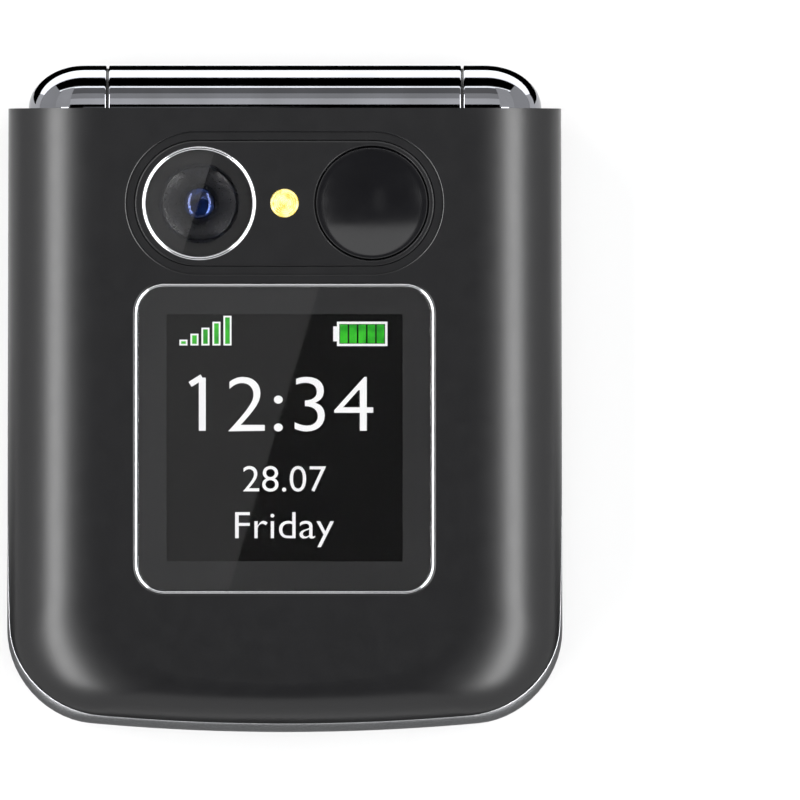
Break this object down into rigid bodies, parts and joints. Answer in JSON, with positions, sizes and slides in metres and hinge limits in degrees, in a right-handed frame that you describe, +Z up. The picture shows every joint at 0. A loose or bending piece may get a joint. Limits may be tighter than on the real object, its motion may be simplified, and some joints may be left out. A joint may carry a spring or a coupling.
{
  "type": "flip phone",
  "caption": "Compact flip phone with a hinged lid: outer clock display, camera and dished round key on the lid, keypad and inner display inside, barrel hinge, snap-off back cover.",
  "frame": {"origin": "centre of the closed phone's footprint, on the back cover's flat outer face", "axes": "+Z up, out of the lid's outer face; +Y towards the hinge barrel; +X to the right as the lid's face is read with the hinge at the top"},
  "size_m": [0.0596, 0.0716, 0.019],
  "materials": {
    "graphite_paint": "dark graphite metallic lacquer, glossy",
    "satin_silver": "satin silver, plated",
    "dark_plastic": "dark grey moulded plastic",
    "dark_chrome": "black chrome, polished",
    "chrome": "polished chrome",
    "window_glass": "clear hard-coated window",
    "display": "display panel",
    "black_plastic": "black moulded plastic",
    "flash_resin": "pale yellow lens over a white LED",
    "circuit_board": "green solder mask",
    "plated_steel": "plated sheet steel",
    "rubber": "black rubber",
    "silicone": "translucent silicone",
    "film": "amber polyimide film",
    "battery_wrap": "dark film wrap",
    "key_plastic": "dark key caps with pale legends",
    "key_green": "green key cap",
    "key_red": "red key cap",
    "key_metal": "plated navigation ring"
  },
  "bodies": {
    "base": {"base_frame": "satin_silver", "keypad_deck": "dark_plastic", "key_membrane": "silicone", "dome_sheet": "film", "main_board": "circuit_board", "battery": "battery_wrap", "battery_contacts": "black_plastic", "sim_card_holder": "plated_steel", "shield_can": "plated_steel", "loudspeaker": "black_plastic", "vibration_motor": "plated_steel", "antenna": "black_plastic", "usb_socket": "plated_steel", "hinge_cap_left": "dark_chrome", "hinge_cap_right": "dark_chrome", "hinge_cam_shaft": "plated_steel", "hinge_bush": "plated_steel"},
    "lid": {"lid_cover": "graphite_paint", "lid_frame": "satin_silver", "lid_bezel": "dark_plastic", "camera_island": "graphite_paint", "outer_window_rim": "chrome", "outer_window": "window_glass", "outer_display": "display", "camera_ring": "chrome", "camera_glass": "window_glass", "camera_module": "black_plastic", "flash_lens": "flash_resin", "lid_board": "circuit_board", "inner_display": "display", "inner_window": "window_glass", "earpiece": "black_plastic", "closing_magnet": "plated_steel", "bumpers": "rubber", "hinge_centre_cover": "dark_chrome", "hinge_module_can": "plated_steel", "hinge_follower": "plated_steel", "hinge_spring": "plated_steel", "hinge_flex": "film"},
    "back_cover": {"back_cover": "graphite_paint"},
    "round_key": {"round_key": "graphite_paint"},
    "key_navigation": {"key_navigation": "key_metal"},
    "key_1": {"key_1": "key_plastic"},
    "key_2": {"key_2": "key_plastic"},
    "key_3": {"key_3": "key_plastic"},
    "key_4": {"key_4": "key_plastic"},
    "key_5": {"key_5": "key_plastic"},
    "key_6": {"key_6": "key_plastic"},
    "key_7": {"key_7": "key_plastic"},
    "key_8": {"key_8": "key_plastic"},
    "key_9": {"key_9": "key_plastic"},
    "key_star": {"key_star": "key_plastic"},
    "key_0": {"key_0": "key_plastic"},
    "key_hash": {"key_hash": "key_plastic"},
    "key_soft_left": {"key_soft_left": "key_plastic"},
    "key_soft_right": {"key_soft_right": "key_plastic"},
    "key_call": {"key_call": "key_green"},
    "key_end": {"key_end": "key_red"},
    "key_ok": {"key_ok": "key_plastic"}
  },
  "joints": [
    {"name": "lid_hinge", "type": "hinge", "parent": "base", "child": "lid", "pos_m": [0, 0.03125, 0.0095], "axis": [-1, 0, 0], "range_deg": [0, 160], "deforming": ["hinge_flex"]},
    {"name": "back_cover_slide", "type": "slide", "parent": "base", "child": "back_cover", "axis": [0, 0, -1], "range_m": [0, 0.012]},
    {"name": "round_key_press", "type": "slide", "parent": "lid", "child": "round_key", "axis": [0, 0, -1], "range_m": [0, 0.0004], "stiffness_N_per_m": 400, "springref_m": -0.0006},
    {"name": "navigation_tilt", "type": "hinge", "parent": "base", "child": "key_navigation", "pos_m": [0, 0.01635, 0.0079], "axis": [1, 0, 0], "range_deg": [-1.5, 1.5], "stiffness_Nm_per_rad": 0.02, "deforming": ["key_membrane"]},
    {"name": "key_1_press", "type": "slide", "parent": "base", "child": "key_1", "axis": [0, 0, -1], "range_m": [0, 0.0003], "stiffness_N_per_m": 400, "springref_m": -0.0006, "deforming": ["key_membrane"]},
    {"name": "key_2_press", "type": "slide", "parent": "base", "child": "key_2", "axis": [0, 0, -1], "range_m": [0, 0.0003], "stiffness_N_per_m": 400, "springref_m": -0.0006, "deforming": ["key_membrane"]},
    {"name": "key_3_press", "type": "slide", "parent": "base", "child": "key_3", "axis": [0, 0, -1], "range_m": [0, 0.0003], "stiffness_N_per_m": 400, "springref_m": -0.0006, "deforming": ["key_membrane"]},
    {"name": "key_4_press", "type": "slide", "parent": "base", "child": "key_4", "axis": [0, 0, -1], "range_m": [0, 0.0003], "stiffness_N_per_m": 400, "springref_m": -0.0006, "deforming": ["key_membrane"]},
    {"name": "key_5_press", "type": "slide", "parent": "base", "child": "key_5", "axis": [0, 0, -1], "range_m": [0, 0.0003], "stiffness_N_per_m": 400, "springref_m": -0.0006, "deforming": ["key_membrane"]},
    {"name": "key_6_press", "type": "slide", "parent": "base", "child": "key_6", "axis": [0, 0, -1], "range_m": [0, 0.0003], "stiffness_N_per_m": 400, "springref_m": -0.0006, "deforming": ["key_membrane"]},
    {"name": "key_7_press", "type": "slide", "parent": "base", "child": "key_7", "axis": [0, 0, -1], "range_m": [0, 0.0003], "stiffness_N_per_m": 400, "springref_m": -0.0006, "deforming": ["key_membrane"]},
    {"name": "key_8_press", "type": "slide", "parent": "base", "child": "key_8", "axis": [0, 0, -1], "range_m": [0, 0.0003], "stiffness_N_per_m": 400, "springref_m": -0.0006, "deforming": ["key_membrane"]},
    {"name": "key_9_press", "type": "slide", "parent": "base", "child": "key_9", "axis": [0, 0, -1], "range_m": [0, 0.0003], "stiffness_N_per_m": 400, "springref_m": -0.0006, "deforming": ["key_membrane"]},
    {"name": "key_star_press", "type": "slide", "parent": "base", "child": "key_star", "axis": [0, 0, -1], "range_m": [0, 0.0003], "stiffness_N_per_m": 400, "springref_m": -0.0006, "deforming": ["key_membrane"]},
    {"name": "key_0_press", "type": "slide", "parent": "base", "child": "key_0", "axis": [0, 0, -1], "range_m": [0, 0.0003], "stiffness_N_per_m": 400, "springref_m": -0.0006, "deforming": ["key_membrane"]},
    {"name": "key_hash_press", "type": "slide", "parent": "base", "child": "key_hash", "axis": [0, 0, -1], "range_m": [0, 0.0003], "stiffness_N_per_m": 400, "springref_m": -0.0006, "deforming": ["key_membrane"]},
    {"name": "key_soft_left_press", "type": "slide", "parent": "base", "child": "key_soft_left", "axis": [0, 0, -1], "range_m": [0, 0.0003], "stiffness_N_per_m": 400, "springref_m": -0.0006, "deforming": ["key_membrane"]},
    {"name": "key_soft_right_press", "type": "slide", "parent": "base", "child": "key_soft_right", "axis": [0, 0, -1], "range_m": [0, 0.0003], "stiffness_N_per_m": 400, "springref_m": -0.0006, "deforming": ["key_membrane"]},
    {"name": "key_call_press", "type": "slide", "parent": "base", "child": "key_call", "axis": [0, 0, -1], "range_m": [0, 0.0003], "stiffness_N_per_m": 400, "springref_m": -0.0006, "deforming": ["key_membrane"]},
    {"name": "key_end_press", "type": "slide", "parent": "base", "child": "key_end", "axis": [0, 0, -1], "range_m": [0, 0.0003], "stiffness_N_per_m": 400, "springref_m": -0.0006, "deforming": ["key_membrane"]},
    {"name": "key_ok_press", "type": "slide", "parent": "base", "child": "key_ok", "axis": [0, 0, -1], "range_m": [0, 0.0003], "stiffness_N_per_m": 400, "springref_m": -0.0006, "deforming": ["key_membrane"]}
  ]
}
